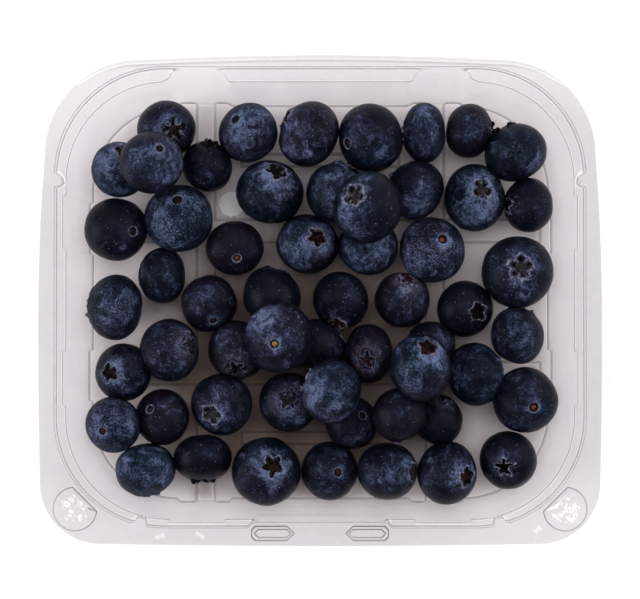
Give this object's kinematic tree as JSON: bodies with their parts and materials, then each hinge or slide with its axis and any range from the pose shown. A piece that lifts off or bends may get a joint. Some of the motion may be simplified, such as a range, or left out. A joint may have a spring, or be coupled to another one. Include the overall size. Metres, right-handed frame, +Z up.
{
  "type": "punnet of blueberries",
  "caption": "Open clear plastic punnet with a wide rim, stepped wall panels and a grooved, vented floor, holding a low heap of fresh blueberries.",
  "frame": {"origin": "on the surface the punnet stands on, below the middle of its rim", "axes": "+X along the long side, +Y towards the narrow back of the rim where a lid would be hinged, +Z up"},
  "size_m": [0.144, 0.1254, 0.041],
  "materials": {
    "clear_tray": "clear thermoformed PET sheet, glossy, with fine scuffs",
    "berry_skin": "dark blue-black skin under a patchy pale wax bloom"
  },
  "bodies": {
    "root": {"punnet_tray": "clear_tray", "blueberries": "berry_skin"}
  },
  "joints": []
}
